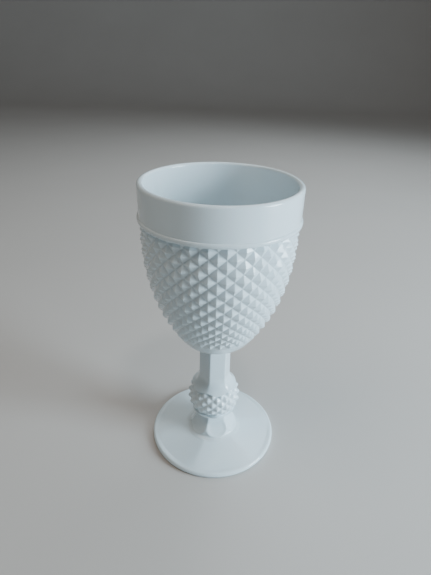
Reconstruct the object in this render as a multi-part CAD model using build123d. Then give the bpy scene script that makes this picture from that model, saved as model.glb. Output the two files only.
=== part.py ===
from build123d import *
import math
import os

# Stemmed goblet in opal pressed glass.  +Z is up and the origin is the centre of the foot's
# resting face, on the axis.  All sizes are in millimetres.

# ---------------------------------------------------------------- driving dimensions
# Six-sided work: foot panels, collar, stem and necks share one orientation
PANEL_COUNT = 6
PANEL_TURN = 12.0          # degrees from the front to the middle of the front panel

# Foot
FOOT_RADIUS = 35.7
FOOT_HEIGHT = 6.0          # table to the collar's seat
FOOT_BORDER_HEIGHT = 3.2   # thickness at the rounded border
FOOT_BORDER_LAND = 0.8     # flat top of the border, inside its rounded edge
FOOT_BORDER_PROUD = 0.1    # border above the ends of the ridges
FOOT_HOLLOW_DEPTH = 1.5
FOOT_REST_WIDTH = 4.0      # flat ring that the goblet stands on

# Collar
COLLAR_RADIUS = 15.0
COLLAR_HEIGHT = 10.7
COLLAR_SHOULDER = 5.5      # height of the rounded ring that the petals cut into
COLLAR_ROUND = 3.2         # rounding of that ring's top edge
COLLAR_PETAL_INSET = 1.2   # petal inside the ring, at the foot

# Neck between collar and knop
NECK_APOTHEM = 8.2
NECK_CORNER_TRIM = 0.4     # taken off each sharp corner of the six sides

# Knop
KNOP_RADIUS = 15.0         # axis to the points of the hobnails
KNOP_LOWER_NECK = 3.6
KNOP_UPPER_NECK = 7.7
KNOP_HOBNAILS = 16
KNOP_HOBNAIL_DEPTH = 1.7
KNOP_FIRST_ROW = -36.25    # latitude of the lowest row of hobnails, degrees
KNOP_ROWS = 8
KNOP_TURN = 8.25           # degrees from the front to a point of the second row
KNOP_FLARE_LATITUDE = 36.0 # where the flared necks meet the ball, degrees
KNOP_FLARE_INSET = 0.4     # side of the flare inside the points of the hobnails
KNOP_FLARE_TRIM = 1.3

# Stem
STEM_LENGTH = 19.2
STEM_APOTHEM = 7.6
STEM_CORNER_TRIM = 0.42
STEM_COVE = 1.5            # height of the cove under the bowl

# Bowl
BOWL_RADIUS = 37.0         # axis to the points of the hobnails at the belt
BOWL_SWELL = 64.2          # bottom of the bowl up to its belt, the widest level
BOWL_STRAIGHT = 5.9        # belt to the mould seam under the bead
BOWL_FOOT_RADIUS = 9.4
BOWL_FOOT_SPREAD = 2.6     # how far the base runs out for each unit it rises, at the stem
BOWL_WALL = 2.3            # glass under the hobnails' grooves at the belt
BOWL_FLOOR = 9.5           # glass under the cup, on the axis
BOWL_PLAIN_BASE = 10.5      # smooth glass between the stem and the hobnails
BOWL_HOBNAILS = 30
BOWL_HOBNAIL_DEPTH = 1.8
BOWL_ROW_STEP = 3.49       # from one row to the next, staggered row at the belt
BOWL_ROW_TAPER = 0.7       # how strongly the hobnails shrink with the bowl towards the stem
BOWL_TOP_ROW = 2.15        # seam down to the topmost row of points
BOWL_TURN = -0.6           # degrees from the front to a point of the second row

# Bead, band and lip
BEAD_HEIGHT = 2.2
BEAD_STAND_OUT = 0.8       # bead beyond the points of the hobnails
BAND_STAND_OUT = 0.1
BAND_HEIGHT = 14.9         # bead to the top of the lip
LIP_WALL = 2.75

# ---------------------------------------------------------------- levels and derived sizes
KNOP_REACH = KNOP_RADIUS * math.sin(math.radians(KNOP_FLARE_LATITUDE))

Z_COLLAR = FOOT_HEIGHT
Z_KNOP = Z_COLLAR + COLLAR_HEIGHT
Z_BALL = Z_KNOP + KNOP_LOWER_NECK + KNOP_REACH
Z_STEM = Z_BALL + KNOP_REACH + KNOP_UPPER_NECK
Z_BOWL = Z_STEM + STEM_LENGTH
Z_BELT = Z_BOWL + BOWL_SWELL
Z_SEAM = Z_BELT + BOWL_STRAIGHT
Z_BAND = Z_SEAM + BEAD_HEIGHT
Z_LIP = Z_BAND + BAND_HEIGHT
Z_LIP_SPRING = Z_LIP - LIP_WALL / 2
Z_CUP_FLOOR = Z_BOWL + BOWL_FLOOR
Z_PATTERN = Z_BOWL + BOWL_PLAIN_BASE

BEAD_RADIUS = BOWL_RADIUS + BEAD_STAND_OUT
BAND_RADIUS = BOWL_RADIUS + BAND_STAND_OUT
CUP_RADIUS = BOWL_RADIUS - BOWL_HOBNAIL_DEPTH - BOWL_WALL
CUP_MOUTH_RADIUS = BAND_RADIUS - LIP_WALL
BOWL_SEMI_AXIS = BOWL_SWELL / math.sqrt(1 - (BOWL_FOOT_RADIUS / BOWL_RADIUS) ** 2)
FLARE_APOTHEM = KNOP_RADIUS * math.cos(math.radians(KNOP_FLARE_LATITUDE)) - KNOP_FLARE_INSET
REACH = 2 * (FOOT_RADIUS + BOWL_RADIUS)   # longer than any piece is wide


# ---------------------------------------------------------------- small helpers
def polar(radius, degrees, z):
    """A point at an angle from the front (-Y), turning towards +X."""
    a = math.radians(degrees)
    return (radius * math.sin(a), -radius * math.cos(a), z)


def corner(apothem, trim):
    """Axis to the rounded corner of the six sides."""
    return apothem / math.cos(math.pi / PANEL_COUNT) - trim


def spaced(first, last, count):
    """Evenly spaced values from first to last."""
    return [first + (last - first) * k / (count - 1) for k in range(count)]


def post(radius, low, high):
    """A plain cylinder on the axis between two levels."""
    return Pos(0, 0, (low + high) / 2) * Cylinder(radius, high - low)


def turned(outline):
    """Revolve a closed outline, drawn as (radius, z), round the axis."""
    return revolve(Plane.XZ * make_face(outline), Axis.Z)


def six_sided(side, turn=PANEL_TURN):
    """The body with PANEL_COUNT equal sides whose side line is the given (distance, z) curve."""
    mirrored = mirror(side, Plane.YZ)
    left_low, left_high = mirrored @ 0, mirrored @ 1
    right_low, right_high = side @ 0, side @ 1
    ends = [Line(left_low, right_low), Line(left_high, right_high)]
    outline = make_face(side.edges() + mirrored.edges() + ends)
    slab = extrude(Plane.XZ * outline, REACH / 2, both=True)
    body = None
    for k in range(PANEL_COUNT // 2):
        angle = turn - 90 + k * 360 / PANEL_COUNT
        cut = slab.rotate(Axis.Z, angle)
        body = cut if body is None else body & cut
    return body


def hobnailed(rows, count, turn, groove, point):
    """A closed solid whose side is staggered rows of four-sided points.

    rows holds the levels from low to high; groove(level) and point(level) give the (radius, z)
    of the valley corners and of the tips.  The first and last levels only carry corners.
    """
    step = 360 / count

    def valley(j, i):
        r, z = groove(rows[j])
        return polar(r, turn + (i + 0.5 * (j % 2) + 0.5) * step, z)

    faces = []

    def triangle(a, b, c):
        faces.append(Face(Wire.make_polygon([a, b, c], close=True)))

    for j in range(1, len(rows) - 1):
        for i in range(count):
            r, z = point(rows[j])
            tip = polar(r, turn + (i + 0.5 * (j % 2)) * step, z)
            left, right = valley(j, i - 1), valley(j, i)
            shift = i - 1 + (j % 2)
            low, high = valley(j - 1, shift), valley(j + 1, shift)
            triangle(left, low, tip)
            triangle(low, right, tip)
            triangle(right, high, tip)
            triangle(high, left, tip)
    bottom, top = 0, len(rows) - 1
    for i in range(count):
        a, b = valley(bottom, i), valley(bottom, i + 1)
        triangle(a, b, valley(1, i + (bottom % 2)))
        a, b = valley(top, i), valley(top, i + 1)
        triangle(b, a, valley(top - 1, i + (top % 2)))
    low_ring = [valley(bottom, i) for i in range(count)]
    high_ring = [valley(top, i) for i in range(count)]
    faces.append(Face(Wire.make_polygon(low_ring[::-1], close=True)))
    faces.append(Face(Wire.make_polygon(high_ring, close=True)))
    return Solid(Shell(faces))


# ---------------------------------------------------------------- foot
def foot():
    """Round foot: six flat panels meeting in ridges, rounded border, hollow underside."""
    half = FOOT_BORDER_HEIGHT / 2
    spring = FOOT_RADIUS - half
    inner = spring - FOOT_BORDER_LAND
    ridge_end = FOOT_BORDER_HEIGHT - FOOT_BORDER_PROUD
    ridge_fall = (FOOT_HEIGHT - ridge_end) / (inner - COLLAR_RADIUS)
    side_fall = ridge_fall / math.cos(math.pi / PANEL_COUNT)
    crown = FOOT_HEIGHT + ridge_fall * COLLAR_RADIUS
    near_axis = COLLAR_RADIUS / 4
    panels = six_sided(Polyline((FOOT_RADIUS, 0), (FOOT_RADIUS, crown - side_fall * FOOT_RADIUS),
                                (near_axis, crown - side_fall * near_axis)))
    disc = post(spring, 0, FOOT_HEIGHT)
    seat = post(COLLAR_RADIUS, 0, FOOT_HEIGHT)
    border = turned([
        Line((inner, 0), (spring, 0)),
        CenterArc((spring, half), half, -90, 180),
        Line((spring, FOOT_BORDER_HEIGHT), (inner, FOOT_BORDER_HEIGHT)),
        Line((inner, FOOT_BORDER_HEIGHT), (inner, 0)),
    ])
    rest_inner = spring - FOOT_REST_WIDTH
    dome = (rest_inner ** 2 + FOOT_HOLLOW_DEPTH ** 2) / (2 * FOOT_HOLLOW_DEPTH)
    hollow = Pos(0, 0, FOOT_HOLLOW_DEPTH - dome) * Sphere(dome)
    return (panels & disc) + seat + border - hollow


# ---------------------------------------------------------------- necks
WAIST = 0.24    # how far the middle of a flare still stands out, as a share of its spread


def flare_line(low, high):
    """Concave side line from one (distance, z) to another; the narrow end is the steep one."""
    narrow, wide = sorted((low[0], high[0]))
    middle = (narrow + WAIST * (wide - narrow), (low[1] + high[1]) / 2)
    return ThreePointArc(low, middle, high)


def flare(low, high, low_trim, high_trim):
    """Six-sided concave neck between two (apothem, z), its corners rounded by a turned flare."""
    low_corner = (corner(low[0], low_trim), low[1])
    high_corner = (corner(high[0], high_trim), high[1])
    rounded = turned([
        Line((0, low[1]), low_corner),
        flare_line(low_corner, high_corner),
        Line(high_corner, (0, high[1])),
        Line((0, high[1]), (0, low[1])),
    ])
    return six_sided(flare_line(low, high)) & rounded


# ---------------------------------------------------------------- collar
def collar():
    """Rounded ring that six flared petals cut into, rising to the neck under the knop."""
    shoulder = Z_COLLAR + COLLAR_SHOULDER
    ring_top = (COLLAR_RADIUS - COLLAR_ROUND, shoulder)
    neck_corner = (corner(NECK_APOTHEM, NECK_CORNER_TRIM), Z_KNOP)
    ring = turned([
        Line((0, Z_COLLAR), (COLLAR_RADIUS, Z_COLLAR)),
        Line((COLLAR_RADIUS, Z_COLLAR), (COLLAR_RADIUS, shoulder - COLLAR_ROUND)),
        CenterArc((ring_top[0], shoulder - COLLAR_ROUND), COLLAR_ROUND, 0, 90),
        flare_line(ring_top, neck_corner),
        Line(neck_corner, (0, Z_KNOP)),
        Line((0, Z_KNOP), (0, Z_COLLAR)),
    ])
    petal_foot = (COLLAR_RADIUS - COLLAR_PETAL_INSET, Z_COLLAR)
    return ring & six_sided(flare_line(petal_foot, (NECK_APOTHEM, Z_KNOP)))


# ---------------------------------------------------------------- knop
def knop():
    """Ball with staggered hobnails between two six-sided flared necks."""
    step = 180 / KNOP_HOBNAILS
    latitudes = [KNOP_FIRST_ROW + step * k for k in range(-1, KNOP_ROWS + 1)]

    def on_ball(radius):
        def place(latitude):
            a = math.radians(latitude)
            return radius * math.cos(a), Z_BALL + radius * math.sin(a)
        return place

    ball = hobnailed(latitudes, KNOP_HOBNAILS, KNOP_TURN,
                     on_ball(KNOP_RADIUS - KNOP_HOBNAIL_DEPTH), on_ball(KNOP_RADIUS))
    lower = flare((NECK_APOTHEM, Z_KNOP), (FLARE_APOTHEM, Z_BALL - KNOP_REACH),
                  NECK_CORNER_TRIM, KNOP_FLARE_TRIM)
    upper = flare((FLARE_APOTHEM, Z_BALL + KNOP_REACH), (STEM_APOTHEM, Z_STEM),
                  KNOP_FLARE_TRIM, STEM_CORNER_TRIM)
    return ball + upper + lower


# ---------------------------------------------------------------- stem
def stem():
    """Six-sided column with rounded corners and a small cove under the bowl."""
    cove = Z_BOWL - STEM_COVE
    column = six_sided(Line((STEM_APOTHEM, Z_STEM), (STEM_APOTHEM, cove)))
    column = column & post(corner(STEM_APOTHEM, STEM_CORNER_TRIM), Z_STEM, cove)
    wide = BOWL_FOOT_RADIUS * math.cos(math.pi / PANEL_COUNT)
    return column + flare((STEM_APOTHEM, cove), (wide, Z_BOWL), STEM_CORNER_TRIM, 0)


# ---------------------------------------------------------------- bowl
def bowl_outside(z):
    """Radius of the bowl over the points of the hobnails."""
    below = max(0.0, Z_BELT - z)
    return BOWL_RADIUS * math.sqrt(max(0.0, 1 - (below / BOWL_SEMI_AXIS) ** 2))


def bowl_size(z):
    """How large a hobnail is at a level, next to one at the belt."""
    return (bowl_outside(z) / BOWL_RADIUS) ** BOWL_ROW_TAPER


def bowl_rows():
    """Levels of the hobnail rows, low to high, with a spare row past each end."""
    levels = [Z_SEAM - BOWL_TOP_ROW + 2 * BOWL_ROW_STEP, Z_SEAM - BOWL_TOP_ROW + BOWL_ROW_STEP,
              Z_SEAM - BOWL_TOP_ROW]
    while levels[-1] > Z_PATTERN - BOWL_ROW_STEP:
        z = levels[-1]
        dr = bowl_outside(z) - bowl_outside(z - 1.0)
        levels.append(z - BOWL_ROW_STEP * bowl_size(z) / math.hypot(1.0, dr))
    return levels[::-1]


def base_line():
    """Side of the smooth base, from the stem to where it meets the hobnails."""
    third = (Z_PATTERN - Z_BOWL) / 3
    edge = bowl_outside(Z_PATTERN)
    lean = bowl_outside(Z_PATTERN + 0.5) - bowl_outside(Z_PATTERN - 0.5)
    return Bezier((BOWL_FOOT_RADIUS, Z_BOWL),
                  (BOWL_FOOT_RADIUS + BOWL_FOOT_SPREAD * third, Z_BOWL + third),
                  (edge - lean * third, Z_PATTERN - third), (edge, Z_PATTERN))


def cup_radius(z):
    """Inner radius above the belt: the wall leans out on a wide arc to the mouth."""
    rise, out = Z_LIP_SPRING - Z_BELT, CUP_MOUTH_RADIUS - CUP_RADIUS
    bend = (rise ** 2 + out ** 2) / (2 * out)
    return CUP_RADIUS + bend - math.sqrt(bend ** 2 - (z - Z_BELT) ** 2)


def cup_wall(low, high):
    """The inner wall between two levels above the belt, as an arc of the outline."""
    middle = (low + high) / 2
    return ThreePointArc((cup_radius(low), low), (cup_radius(middle), middle),
                         (cup_radius(high), high))


def bowl():
    """Hollow cup: hobnails outside, smooth inside, plain rounded base on the stem."""
    rows = bowl_rows()
    step = 360 / BOWL_HOBNAILS
    turn = BOWL_TURN - 0.5 * step * (len(rows) % 2)

    def point(z):
        return bowl_outside(z), z

    def groove(z):
        slope = bowl_outside(z + 0.5) - bowl_outside(z - 0.5)
        length = math.hypot(1.0, slope)
        depth = BOWL_HOBNAIL_DEPTH * bowl_size(z)
        return bowl_outside(z) - depth / length, z + depth * slope / length

    pattern = hobnailed(rows, BOWL_HOBNAILS, turn, groove, point)
    pattern = pattern & post(2 * BOWL_RADIUS, Z_PATTERN, Z_SEAM)
    base = turned([
        Line((0, Z_BOWL), (BOWL_FOOT_RADIUS, Z_BOWL)), base_line(),
        Line((bowl_outside(Z_PATTERN), Z_PATTERN), (0, Z_PATTERN)),
        Line((0, Z_PATTERN), (0, Z_BOWL)),
    ])
    well = Spline([(CUP_RADIUS * math.sin(a), Z_BELT - (Z_BELT - Z_CUP_FLOOR) * math.cos(a))
                   for a in spaced(0, math.pi / 2, 7)], tangents=[(1, 0), (0, 1)])
    cup = turned([
        well, cup_wall(Z_BELT, Z_SEAM),
        Line((cup_radius(Z_SEAM), Z_SEAM), (0, Z_SEAM)), Line((0, Z_SEAM), (0, Z_CUP_FLOOR)),
    ])
    return base + pattern - cup


# ---------------------------------------------------------------- bead and band
def shoulder_bead():
    """Raised ring that closes the field of hobnails."""
    middle = (Z_SEAM + Z_BAND) / 2
    return turned([
        Line((cup_radius(Z_SEAM), Z_SEAM), (BAND_RADIUS, Z_SEAM)),
        ThreePointArc((BAND_RADIUS, Z_SEAM), (BEAD_RADIUS, middle), (BAND_RADIUS, Z_BAND)),
        Line((BAND_RADIUS, Z_BAND), (cup_radius(Z_BAND), Z_BAND)),
        cup_wall(Z_SEAM, Z_BAND),
    ])


def rim_band():
    """Plain band with a rounded drinking lip."""
    outer, inner = BAND_RADIUS, cup_radius(Z_LIP_SPRING)
    return turned([
        Line((cup_radius(Z_BAND), Z_BAND), (outer, Z_BAND)),
        Line((outer, Z_BAND), (outer, Z_LIP_SPRING)),
        ThreePointArc((outer, Z_LIP_SPRING), ((outer + inner) / 2, Z_LIP), (inner, Z_LIP_SPRING)),
        cup_wall(Z_BAND, Z_LIP_SPRING),
    ])


# ---------------------------------------------------------------- write the parts
PIECES = {
    "foot": foot,
    "collar": collar,
    "knop": knop,
    "stem": stem,
    "bowl": bowl,
    "shoulder_bead": shoulder_bead,
    "rim_band": rim_band,
}

os.makedirs("parts", exist_ok=True)
for name, make in PIECES.items():
    piece = make()
    piece.label = name
    export_step(piece, f"parts/{name}.step")
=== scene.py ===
import math
import bmesh
import bpy
from mathutils import Matrix, Vector


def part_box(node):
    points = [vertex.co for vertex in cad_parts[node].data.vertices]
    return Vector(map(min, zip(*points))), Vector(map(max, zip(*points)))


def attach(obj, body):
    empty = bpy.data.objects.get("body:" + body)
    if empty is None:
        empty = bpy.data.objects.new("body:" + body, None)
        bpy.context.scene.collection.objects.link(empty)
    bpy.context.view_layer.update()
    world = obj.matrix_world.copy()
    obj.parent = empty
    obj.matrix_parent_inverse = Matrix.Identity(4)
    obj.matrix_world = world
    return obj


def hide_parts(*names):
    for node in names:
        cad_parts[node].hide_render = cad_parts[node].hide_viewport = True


# Stemmed goblet in opal pressed glass, one detailed piece for each CAD node.  Metres, +Z up,
# the origin at the centre of the foot's resting face.

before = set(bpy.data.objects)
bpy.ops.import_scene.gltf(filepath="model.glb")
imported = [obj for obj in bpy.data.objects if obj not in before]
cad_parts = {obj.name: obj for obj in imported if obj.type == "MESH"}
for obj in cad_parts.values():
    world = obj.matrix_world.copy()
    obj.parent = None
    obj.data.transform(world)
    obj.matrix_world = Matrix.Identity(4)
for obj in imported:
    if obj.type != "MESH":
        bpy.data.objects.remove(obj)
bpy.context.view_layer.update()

MM = 0.001
AROUND = 192               # steps round a turned piece
FINE = 256                 # steps round the bead and the band
SHARP = math.radians(40)


def low(node):
    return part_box(node)[0].z


def high(node):
    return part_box(node)[1].z


def reach(node):
    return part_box(node)[1].x


# ---------------------------------------------------------------- sizes
PANEL_TURN = math.radians(12)
PANEL_SOFT = 0.06          # how far the corners of the six sides are rounded

FOOT_BORDER = 3.2 * MM     # thickness of the rounded border
FOOT_HOLLOW = 1.5 * MM
FOOT_REST = 4.0 * MM
FOOT_FILLET = 1.3 * MM

COLLAR_BODY = 13.3 * MM
COLLAR_CUSP = 6.2 * MM     # height at which neighbouring petals meet
COLLAR_BORDER = 0.32 * MM  # raised line round each petal
NECK_APOTHEM = 8.2 * MM

KNOP_RADIUS = 15.2 * MM
KNOP_HOBNAILS = 16
KNOP_DEPTH = 1.7 * MM
KNOP_TURN = math.radians(8.25)
KNOP_FLARE_RADIUS = 12.1 * MM
KNOP_FLARE_RISE = 8.8 * MM  # from the ball's centre to where a flare meets it
KNOP_UPPER_NECK = 7.7 * MM
KNOP_FLARE_LATITUDE = math.radians(36)
KNOP_FIRST_ROW = math.radians(-47.5)
KNOP_ROWS = 8
KNOP_SOFTNESS = 0.55 * MM

STEM_APOTHEM = 7.6 * MM
STEM_COVE = 2.6 * MM

BOWL_FOOT_RADIUS = 9.4 * MM
BOWL_FOOT_SPREAD = 2.6
BOWL_BASE = 10.5 * MM      # smooth glass below the hobnails
BOWL_STRAIGHT = 5.9 * MM   # belt up to the bead
BOWL_HOBNAILS = 30
BOWL_DEPTH = 1.8 * MM
BOWL_ROW_STEP = 3.49 * MM
BOWL_ROW_TAPER = 0.7       # how strongly the hobnails shrink with the bowl
BOWL_TOP_ROW = 2.15 * MM
BOWL_TURN = math.radians(-0.6)
BOWL_SOFTNESS = 0.17 * MM
BOWL_FLOOR = 9.5 * MM
CUP_RADIUS = 32.9 * MM

LIP_WALL = 2.75 * MM
LIP_DIP = 0.05 * MM        # how uneven the fire-polished lip is


# ---------------------------------------------------------------- small helpers
def spaced(first, last, count):
    """Evenly spaced values from first to last."""
    return [first + (last - first) * k / (count - 1) for k in range(count)]


def smooth_max(a, b, width):
    """The larger of two values, with a rounded change-over."""
    near = max(0.0, width - abs(a - b)) / width
    return max(a, b) + near * near * width / 4


def smooth_min(a, b, width):
    return -smooth_max(-a, -b, width)


def ease(t):
    """From 0 to 1 with a level start and a level end."""
    t = min(1.0, max(0.0, t))
    return t * t * (3 - 2 * t)


def six(angle, soft=PANEL_SOFT):
    """Apothem over radius for six sides at this angle, with softened corners."""
    sixth = math.pi / 3
    off = (angle - PANEL_TURN) % sixth
    return smooth_max(math.cos(off), math.cos(sixth - off), soft)


def flared(wide, narrow, t, bend=2.06):
    """Concave flare from wide at t = 0 to narrow at t = 1."""
    return narrow + (wide - narrow) * max(0.0, 1 - t) ** bend


# ---------------------------------------------------------------- mesh tools
def place(verts, ring):
    """Moves verts to the (radius, z) that the ring gives at each one's angle from the front."""
    for v in verts:
        angle = math.atan2(v.co.x, -v.co.y)
        radius, z = ring(angle)
        v.co = (radius * math.sin(angle), -radius * math.cos(angle), z)


def close(bm, row, edges, how):
    """Closes one end of a swept body, flat or at a point on the axis."""
    if how == "flat":
        bmesh.ops.edgeloop_fill(bm, edges=edges)
    if how == "point":
        bmesh.ops.pointmerge(bm, verts=row, merge_co=(0, 0, row[0].co.z))


def lathe(rings, around=AROUND, turn=PANEL_TURN, start="flat", end="flat"):
    """Closed body swept from ring to ring; end="join" leads the last ring back to the first."""
    bm = bmesh.new()
    made = bmesh.ops.create_circle(bm, segments=around, radius=1.0,
                                   matrix=Matrix.Rotation(turn, 4, "Z"))
    row, edges = made["verts"], list(bm.edges)
    first_row, first_edges = row, edges
    place(row, rings[0])
    for ring in rings[1:]:
        grown = bmesh.ops.extrude_edge_only(bm, edges=edges)["geom"]
        row = [g for g in grown if isinstance(g, bmesh.types.BMVert)]
        fresh = set(row)
        edges = [g for g in grown if isinstance(g, bmesh.types.BMEdge)
                 and g.verts[0] in fresh and g.verts[1] in fresh]
        place(row, ring)
    if end == "join":
        bmesh.ops.bridge_loops(bm, edges=first_edges + edges)
    else:
        close(bm, first_row, first_edges, start)
        close(bm, row, edges, end)
    return bm


def round_ring(radius, z):
    """A plain circular ring."""
    return lambda angle: (radius, z)


def staggered(j, point, groove, count, turn):
    """Ring j of a hobnailed side: points and groove corners take turns, and change places
    from one ring to the next."""
    def ring(angle):
        column = round((angle - turn) * count / math.pi)
        return point if (column - j) % 2 == 0 else groove
    return ring


def crease(bm, bottom, top, centre):
    """Splits the four-sided faces between two levels along their deeper diagonals, which
    makes the grooves, and gives back every edge above the bottom level."""
    def depth(a, b):
        return ((a.co + b.co) / 2 - centre).length

    def within(z):
        return bottom - MM / 50 < z < top + MM / 50

    for face in [f for f in bm.faces if all(within(v.co.z) for v in f.verts)]:
        a, b, c, d = face.verts
        if depth(a, c) < depth(b, d):
            bmesh.utils.face_split(face, a, c)
        else:
            bmesh.utils.face_split(face, b, d)
    return [e for e in bm.edges if all(within(v.co.z) for v in e.verts)
            and max(v.co.z for v in e.verts) > bottom + MM / 50]


def soften(bm, edges, width, steps=2):
    """Rounds the given edges, as fire polishing does."""
    bmesh.ops.bevel(bm, geom=edges, offset=width, offset_type="OFFSET", segments=steps,
                    profile=0.5, affect="EDGES", clamp_overlap=True, material=-1)


def as_object(bm, name):
    """A smooth-shaded object from the mesh, with its real corners kept sharp."""
    bmesh.ops.remove_doubles(bm, verts=bm.verts, dist=MM / 1e4)
    bmesh.ops.recalc_face_normals(bm, faces=bm.faces)
    for face in bm.faces:
        face.smooth = True
    for edge in bm.edges:
        edge.smooth = len(edge.link_faces) != 2 or edge.calc_face_angle() < SHARP
    mesh = bpy.data.meshes.new(name)
    bm.to_mesh(mesh)
    bm.free()
    obj = bpy.data.objects.new(name, mesh)
    bpy.context.scene.collection.objects.link(obj)
    return obj


def combined(bm, other, name, operation):
    """The two bodies joined ("UNION"), or the second cut out of the first ("DIFFERENCE")."""
    body = as_object(bm, name + "_body")
    tool = as_object(other, name + "_tool")
    step = body.modifiers.new("combine", "BOOLEAN")
    step.operation = operation
    step.solver = "EXACT"
    step.object = tool
    seen = body.evaluated_get(bpy.context.evaluated_depsgraph_get())
    out = bmesh.new()
    out.from_mesh(seen.to_mesh())
    seen.to_mesh_clear()
    for obj in (body, tool):
        mesh = obj.data
        bpy.data.objects.remove(obj)
        bpy.data.meshes.remove(mesh)
    return as_object(out, name)


def finished(obj, node, glass):
    """Puts the glass on a piece and lets it stand for its CAD node."""
    obj.data.materials.clear()
    obj.data.materials.append(glass)
    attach(obj, "root")
    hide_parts(node)


# ---------------------------------------------------------------- foot
def foot():
    """Round foot: six flat panels meeting in soft ridges, rounded border, hollow underside."""
    radius, top = reach("foot"), high("foot")
    seat = reach("collar")
    half = FOOT_BORDER / 2
    spring = radius - half
    rest = spring - FOOT_REST
    inner = spring - 0.8 * MM
    ridge_fall = (top - FOOT_BORDER - 0.35 * MM) / (inner - seat)
    side_fall = ridge_fall / math.cos(math.pi / 6)
    crown = top + ridge_fall * seat

    def panel(r, angle):
        return crown - side_fall * r * six(angle, 0.05)

    def border(r):
        return FOOT_BORDER - 0.1 * MM - (spring - r) ** 2 / (6 * MM)

    def top_ring(r):
        def ring(angle):
            z = smooth_max(panel(r, angle), border(r), 0.5 * MM)
            z = smooth_min(z, FOOT_BORDER - 0.1 * MM + 0.22 * (spring - r), 0.3 * MM)
            up = max(0.0, 1 - (r - seat) / FOOT_FILLET) ** 2
            return r, z + (top - z) * up
        return ring

    rings = [round_ring(r, FOOT_HOLLOW * (1 - (r / rest) ** 2)) for r in spaced(MM, rest, 16)]
    rings += [round_ring(spring, 0)]
    for a in spaced(-math.pi / 2, math.pi * 0.42, 15)[1:]:
        rings.append(round_ring(spring + half * math.cos(a), half + half * math.sin(a)))
    rings += [top_ring(r) for r in spaced(spring - 0.3 * MM, spring - 4 * MM, 16)]
    rings += [top_ring(r) for r in spaced(spring - 5 * MM, seat + FOOT_FILLET, 12)]
    rings += [top_ring(r) for r in spaced(seat + FOOT_FILLET, seat, 7)[1:]]
    return as_object(lathe(rings, start="point"), "glass_foot")


# ---------------------------------------------------------------- collar
def collar():
    """Rounded ring that six flared petals cut into, rising to the neck under the knop."""
    bottom, top, radius = low("collar"), high("collar"), reach("collar")

    def flange(z, height):
        return max(0.0, 1 - (z - bottom) / height) ** 2

    def ring_side(z):
        up = (z - bottom) / COLLAR_CUSP
        spread = (radius - COLLAR_BODY) * flange(z, 1.4 * MM)
        return COLLAR_BODY - 0.4 * MM * up - 1.7 * MM * up ** 2 + spread

    def ring_at(z):
        t = (z - bottom) / (top - bottom)

        def ring(angle):
            petal = flared(COLLAR_BODY + 0.3 * MM, NECK_APOTHEM, t, 1.42) / six(angle)
            petal += 2.5 * MM * flange(z, 1.6 * MM)
            side = max(ring_side(z), NECK_APOTHEM)
            border = math.exp(-((side - petal) / (0.5 * MM)) ** 2)
            lift = COLLAR_BORDER * border * ease((z - bottom - 0.4 * MM) / (0.6 * MM))
            lift *= ease((bottom + COLLAR_CUSP + 2 * MM - z) / (1.5 * MM))
            if z > bottom + COLLAR_CUSP:
                return petal + lift, z
            return min(radius, smooth_min(petal, side, 0.3 * MM) + lift), z
        return ring

    levels = spaced(bottom, bottom + 8 * MM, 44) + spaced(bottom + 8 * MM, top, 10)[1:]
    return as_object(lathe([ring_at(z) for z in levels]), "glass_collar")


# ---------------------------------------------------------------- knop
def knop():
    """Ball with staggered hobnails between two six-sided flared necks."""
    bottom, top = low("knop"), high("knop")
    centre = top - KNOP_UPPER_NECK - KNOP_RADIUS * math.sin(KNOP_FLARE_LATITUDE)
    step = math.pi / KNOP_HOBNAILS

    def on_ball(radius, latitude):
        return radius * math.cos(latitude), centre + radius * math.sin(latitude)

    def cut_back(row, floor):
        """The row with its points lowered where the panels of the flare cut into it."""
        def ring(angle):
            point = row(angle)
            keep = math.sin(3 * (angle - PANEL_TURN)) ** 2
            return tuple(f + (p - f) * keep for p, f in zip(point, floor))
        return ring

    valley = KNOP_RADIUS - KNOP_DEPTH
    first = KNOP_FIRST_ROW
    rings = [round_ring(*on_ball(valley, first - step))]
    rings += [round_ring(*on_ball(valley, first))]
    for j in range(1, KNOP_ROWS + 1):
        latitude = first + j * step
        tip = valley + KNOP_DEPTH * ease(j / 4)
        row = staggered(j, on_ball(tip, latitude), on_ball(valley, latitude),
                        KNOP_HOBNAILS, KNOP_TURN)
        rings.append(cut_back(row, on_ball(valley, latitude)) if j == KNOP_ROWS else row)
    last = first + (KNOP_ROWS + 1) * step
    rings += [round_ring(*on_ball(valley, last))]
    rings += [round_ring(*on_ball(valley, last + step))]
    ball = lathe(rings, around=2 * KNOP_HOBNAILS, turn=KNOP_TURN)
    edges = crease(ball, on_ball(valley, first)[1], on_ball(valley, last)[1],
                   Vector((0, 0, centre)))
    soften(ball, edges, KNOP_SOFTNESS, 3)

    def flare(meets, level, apothem):
        """Rings from the ball, where the flare is round, to the six-sided end of a neck."""
        def ring_at(t):
            def ring(angle):
                round_part = (1 - t) ** 1.5
                petal = math.cos(3 * (angle - PANEL_TURN)) ** 2 * (1 - t) ** 2
                side = flared(KNOP_FLARE_RADIUS, apothem, t, 2.6) + 0.6 * MM * petal
                reached = z - math.copysign(0.8 * MM * petal, level - meets)
                return side * (round_part + (1 - round_part) / six(angle)), reached
            z = meets + (level - meets) * t
            return ring
        return [ring_at(t) for t in spaced(0, 1, 16)]

    lower_meets, upper_meets = centre - KNOP_FLARE_RISE, centre + KNOP_FLARE_RISE
    core = KNOP_FLARE_RADIUS - 3 * MM
    rings = flare(lower_meets, bottom, NECK_APOTHEM)[::-1]
    rings += [round_ring(core, z) for z in (lower_meets + 2 * MM, upper_meets - 2 * MM)]
    rings += flare(upper_meets, top, STEM_APOTHEM)
    return combined(ball, lathe(rings), "glass_knop", "UNION")


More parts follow.
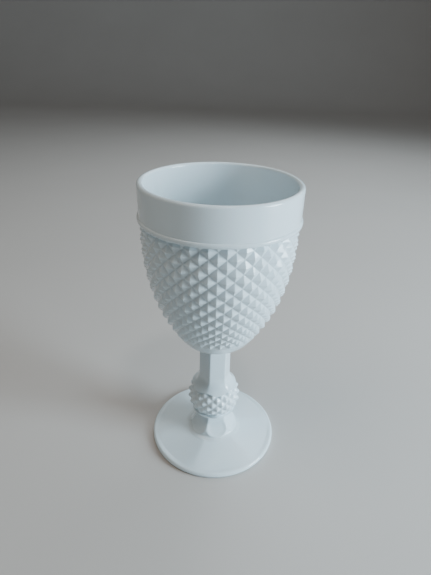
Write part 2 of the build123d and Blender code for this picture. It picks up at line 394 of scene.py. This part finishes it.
# ---------------------------------------------------------------- stem
def stem():
    """Six-sided column, a little waisted, that rounds out into the bowl."""
    bottom, top = low("stem"), high("stem")
    cove = top - STEM_COVE

    def ring_at(z):
        t = (z - bottom) / (top - bottom)
        waist = STEM_APOTHEM - 0.1 * MM * math.sin(math.pi * t)
        out = max(0.0, (z - cove) / STEM_COVE)

        def ring(angle):
            side = waist / six(angle)
            return side + (BOWL_FOOT_RADIUS - side) * out ** 2, z
        return ring

    levels = spaced(bottom, cove, 20) + spaced(cove, top, 9)[1:]
    return as_object(lathe([ring_at(z) for z in levels]), "glass_stem")


# ---------------------------------------------------------------- bowl
Z_BOWL, Z_SEAM = low("bowl"), high("bowl")
Z_BELT = Z_SEAM - BOWL_STRAIGHT
Z_PATTERN = Z_BOWL + BOWL_BASE
BOWL_RADIUS = reach("bowl")
BOWL_SEMI_AXIS = (Z_BELT - Z_BOWL) / math.sqrt(1 - (BOWL_FOOT_RADIUS / BOWL_RADIUS) ** 2)
Z_SPRING = high("rim_band") - LIP_WALL / 2
MOUTH_RADIUS = reach("rim_band") - LIP_WALL


def bowl_outside(z):
    """Radius of the bowl over the points of the hobnails."""
    below = max(0.0, Z_BELT - z)
    return BOWL_RADIUS * math.sqrt(max(0.0, 1 - (below / BOWL_SEMI_AXIS) ** 2))


def bowl_lean(z):
    """How far the side runs out for each unit it rises."""
    return (bowl_outside(z + MM / 2) - bowl_outside(z - MM / 2)) / MM


def base_radius(z):
    """Radius of the smooth base, a curve led by its slopes at the stem and at the pattern."""
    t = (z - Z_BOWL) / BOWL_BASE
    edge, third = bowl_outside(Z_PATTERN), BOWL_BASE / 3
    guides = (BOWL_FOOT_RADIUS, BOWL_FOOT_RADIUS + BOWL_FOOT_SPREAD * third,
              edge - bowl_lean(Z_PATTERN) * third, edge)
    return sum(math.comb(3, k) * t ** k * (1 - t) ** (3 - k) * guides[k] for k in range(4))


def hobnail_size(z):
    return (bowl_outside(z) / BOWL_RADIUS) ** BOWL_ROW_TAPER


def cup_radius(z):
    """Inner radius: an oval floor up to the belt, then an arc that leans out to the mouth."""
    if z < Z_BELT:
        share = (Z_BELT - z) / (Z_BELT - Z_BOWL - BOWL_FLOOR)
        return CUP_RADIUS * math.sqrt(max(0.0, 1 - share ** 2))
    rise, out = Z_SPRING - Z_BELT, MOUTH_RADIUS - CUP_RADIUS
    bend = (rise ** 2 + out ** 2) / (2 * out)
    return CUP_RADIUS + bend - math.sqrt(bend ** 2 - (z - Z_BELT) ** 2)


def hobnail_row(k, z):
    """Row k from the top: points on the bowl's outline and groove corners under it."""
    length = math.hypot(1.0, bowl_lean(z))
    fade = ease((z - Z_PATTERN) / (3 * MM) + 0.55)
    depth = BOWL_DEPTH * hobnail_size(z) * fade
    groove = (bowl_outside(z) - depth / length, z + depth * bowl_lean(z) / length)
    return staggered(k, (bowl_outside(z), z), groove, BOWL_HOBNAILS, BOWL_TURN)


def bowl():
    """Hollow cup: hobnails outside that run out into a smooth base, smooth inside."""
    levels = [Z_SEAM - BOWL_TOP_ROW + BOWL_ROW_STEP]
    while levels[-1] > Z_PATTERN:
        z = levels[-1]
        step = 1.0 if z > Z_SEAM - BOWL_TOP_ROW else hobnail_size(z)
        lean = (bowl_outside(z) - bowl_outside(z - MM)) / MM
        levels.append(z - BOWL_ROW_STEP * step / math.hypot(1.0, lean))
    edge = levels.pop()
    rings = [round_ring(base_radius(z), z) for z in spaced(Z_BOWL, edge, 14)]
    rings += [hobnail_row(k + 2, z) for k, z in reversed(list(enumerate(levels)))]
    bm = lathe(rings, around=2 * BOWL_HOBNAILS, turn=BOWL_TURN, end="open")
    edges = crease(bm, edge, levels[0] + BOWL_DEPTH, Vector((0, 0, Z_BELT)))
    soften(bm, edges, BOWL_SOFTNESS)
    everything = bm.verts[:] + bm.edges[:] + bm.faces[:]
    cut = bmesh.ops.bisect_plane(bm, geom=everything, plane_co=(0, 0, Z_SEAM),
                                 plane_no=(0, 0, 1), clear_outer=True)["geom_cut"]
    rim = [g for g in cut if isinstance(g, bmesh.types.BMEdge)]
    bmesh.ops.edgeloop_fill(bm, edges=rim)
    floor = Z_BOWL + BOWL_FLOOR
    angles = spaced(0.03, math.pi / 2, 36)
    cup = [round_ring(cup_radius(z), z) for z in
           [Z_BELT - (Z_BELT - floor) * math.cos(a) for a in angles]]
    cup += [round_ring(cup_radius(z), z) for z in spaced(Z_BELT, Z_SEAM, 5)[1:]]
    cup += [round_ring(cup_radius(Z_SEAM), Z_SEAM + 3 * MM)]
    return combined(bm, lathe(cup, start="point"), "glass_bowl", "DIFFERENCE")


# ---------------------------------------------------------------- bead and band
def shoulder_bead():
    """Raised ring that closes the field of hobnails."""
    bottom, top = low("shoulder_bead"), high("shoulder_bead")
    band, bead = reach("rim_band"), reach("shoulder_bead")
    rings = [round_ring(cup_radius(z), z) for z in spaced(top, bottom, 4)]
    for a in spaced(-math.pi / 2, math.pi / 2, 15):
        z = (bottom + top) / 2 + (top - bottom) / 2 * math.sin(a)
        rings.append(round_ring(band + (bead - band) * math.cos(a), z))
    return as_object(lathe(rings, around=FINE, end="join"), "glass_bead")


def rim_band():
    """Plain band with a rounded, very slightly uneven drinking lip."""
    bottom, top, outer = low("rim_band"), high("rim_band"), reach("rim_band")
    half = LIP_WALL / 2

    def lip_ring(a):
        def ring(angle):
            dip = LIP_DIP * (1 + 0.6 * math.sin(2 * angle + 0.7) + 0.4 * math.sin(5 * angle))
            flat = math.copysign(abs(math.sin(a)) ** 0.85, math.sin(a))
            return outer - half + half * math.cos(a), Z_SPRING + (half - dip) * flat
        return ring

    rings = [round_ring(cup_radius(z), z) for z in spaced(Z_SPRING, bottom, 12)[1:]]
    rings += [round_ring(outer, z) for z in spaced(bottom, Z_SPRING, 8)[:-1]]
    rings += [lip_ring(a) for a in spaced(0, math.pi, 17)]
    return as_object(lathe(rings, around=FINE, end="join"), "glass_band")


# ---------------------------------------------------------------- glass
def linked(tree, kind, **inputs):
    """A shader node with some of its inputs set."""
    node = tree.nodes.new(kind)
    for name, value in inputs.items():
        node.inputs[name.replace("_", " ")].default_value = value
    return node


def opal_glass():
    """Bluish white opal glass: soft clouds of colour, uneven polish, faint chill waves."""
    glass = bpy.data.materials.new("opal_glass")
    glass.use_nodes = True
    tree = glass.node_tree
    shader = tree.nodes["Principled BSDF"]
    where = tree.nodes.new("ShaderNodeTexCoord")
    stretch = linked(tree, "ShaderNodeMapping", Scale=(1.0, 1.0, 0.35))
    tree.links.new(where.outputs["Object"], stretch.inputs["Vector"])

    cloud = linked(tree, "ShaderNodeTexNoise", Scale=32.0, Detail=3.0, Roughness=0.5,
                   Distortion=0.6)
    tree.links.new(stretch.outputs["Vector"], cloud.inputs["Vector"])
    tint = tree.nodes.new("ShaderNodeValToRGB")
    tint.color_ramp.elements[0].position = 0.3
    tint.color_ramp.elements[0].color = (0.660, 0.790, 0.855, 1)
    tint.color_ramp.elements[1].position = 0.7
    tint.color_ramp.elements[1].color = (0.725, 0.835, 0.885, 1)
    tree.links.new(cloud.outputs["Fac"], tint.inputs["Fac"])
    tree.links.new(tint.outputs["Color"], shader.inputs["Base Color"])

    polish = linked(tree, "ShaderNodeTexNoise", Scale=140.0, Detail=2.0)
    tree.links.new(where.outputs["Object"], polish.inputs["Vector"])
    spread = linked(tree, "ShaderNodeMapRange", To_Min=0.05, To_Max=0.13)
    tree.links.new(polish.outputs["Fac"], spread.inputs["Value"])
    tree.links.new(spread.outputs["Result"], shader.inputs["Roughness"])

    waves = linked(tree, "ShaderNodeTexNoise", Scale=95.0, Detail=1.0)
    tree.links.new(stretch.outputs["Vector"], waves.inputs["Vector"])
    relief = linked(tree, "ShaderNodeBump", Strength=0.25, Distance=0.0002)
    tree.links.new(waves.outputs["Fac"], relief.inputs["Height"])
    tree.links.new(relief.outputs["Normal"], shader.inputs["Normal"])

    shader.inputs["IOR"].default_value = 1.5
    shader.inputs["Subsurface Weight"].default_value = 0.12
    shader.inputs["Subsurface Radius"].default_value = (1.0, 1.05, 1.1)
    shader.inputs["Subsurface Scale"].default_value = 0.0012
    return glass


# ---------------------------------------------------------------- build
GLASS = opal_glass()
PIECES = {
    "foot": foot,
    "collar": collar,
    "knop": knop,
    "stem": stem,
    "bowl": bowl,
    "shoulder_bead": shoulder_bead,
    "rim_band": rim_band,
}
for node, make in PIECES.items():
    finished(make(), node, GLASS)


# ---------------------------------------------------------------- stage, light and camera
def sweep():
    """Pale floor that curves up into a backdrop."""
    width, behind, bend = 6.0, 1.6, 0.8
    bm = bmesh.new()
    first = bmesh.ops.create_vert(bm, co=(-width / 2, -2.0, 0))["vert"][0]
    line = [(-width / 2, behind, 0)]
    for a in spaced(-math.pi / 2, 0, 12)[1:]:
        line.append((-width / 2, behind + bend * math.cos(a), bend + bend * math.sin(a)))
    line.append((-width / 2, behind + bend, 3.0))
    for co in line:
        grown = bmesh.ops.extrude_vert_indiv(bm, verts=[first])
        first = grown["verts"][0]
        first.co = co
    grown = bmesh.ops.extrude_edge_only(bm, edges=bm.edges[:])["geom"]
    bmesh.ops.translate(bm, vec=(width, 0, 0),
                        verts=[g for g in grown if isinstance(g, bmesh.types.BMVert)])
    obj = as_object(bm, "floor")
    paint = bpy.data.materials.new("pale_floor")
    paint.use_nodes = True
    shader = paint.node_tree.nodes["Principled BSDF"]
    shader.inputs["Roughness"].default_value = 0.6
    grain = linked(paint.node_tree, "ShaderNodeTexNoise", Scale=6.0)
    where = paint.node_tree.nodes.new("ShaderNodeTexCoord")
    paint.node_tree.links.new(where.outputs["Object"], grain.inputs["Vector"])
    tone = paint.node_tree.nodes.new("ShaderNodeValToRGB")
    tone.color_ramp.elements[0].color = (0.50, 0.48, 0.46, 1)
    tone.color_ramp.elements[1].color = (0.54, 0.52, 0.50, 1)
    paint.node_tree.links.new(grain.outputs["Fac"], tone.inputs["Fac"])
    paint.node_tree.links.new(tone.outputs["Color"], shader.inputs["Base Color"])
    obj.data.materials.append(paint)


def softbox(name, place, aim, size, power, colour):
    """A soft light of some width and height at a place, turned to a point."""
    data = bpy.data.lights.new(name, "AREA")
    data.shape = "RECTANGLE"
    data.size, data.size_y = size
    data.energy = power
    data.color = colour
    lamp = bpy.data.objects.new(name, data)
    bpy.context.scene.collection.objects.link(lamp)
    away = Vector(place) - Vector(aim)
    turn = away.to_track_quat("Z", "Y").to_matrix().to_4x4()
    lamp.matrix_world = Matrix.Translation(Vector(place)) @ turn


def camera(place, down, roll, lens):
    """A camera in front of the goblet that looks down by some degrees, turned a little."""
    data = bpy.data.cameras.new("camera")
    data.sensor_width = 36.0
    data.lens = lens
    data.clip_start = 0.005
    cam = bpy.data.objects.new("camera", data)
    bpy.context.scene.collection.objects.link(cam)
    tilt = Matrix.Rotation(math.radians(90 - down), 4, "X")
    turn = Matrix.Rotation(math.radians(roll), 4, "Z")
    cam.matrix_world = Matrix.Translation(Vector(place)) @ tilt @ turn
    bpy.context.scene.camera = cam


def room(colour, strength):
    """Even dim light from all round."""
    world = bpy.data.worlds.new("room")
    bpy.context.scene.world = world
    world.use_nodes = True
    light = world.node_tree.nodes["Background"]
    light.inputs["Color"].default_value = colour
    light.inputs["Strength"].default_value = strength


sweep()
MIDDLE = (0, 0, 0.09)
softbox("window", (0.83, -0.27, 0.30), MIDDLE, (0.36, 0.52), 17.0, (0.72, 0.89, 1.0))
softbox("fill", (-0.35, -0.15, 0.85), MIDDLE, (0.4, 0.4), 1.3, (1.0, 0.80, 0.62))
softbox("back", (0.30, 0.60, 0.75), MIDDLE, (0.8, 0.8), 4.2, (0.86, 0.95, 1.0))
softbox("lamp", (0.12, -0.30, 0.95), MIDDLE, (0.09, 0.09), 1.3, (1.0, 0.98, 0.95))
room((0.95, 0.93, 0.90, 1), 0.13)
camera((-0.00097, -0.19004, 0.20209), 28.734, 1.782, 27.05)
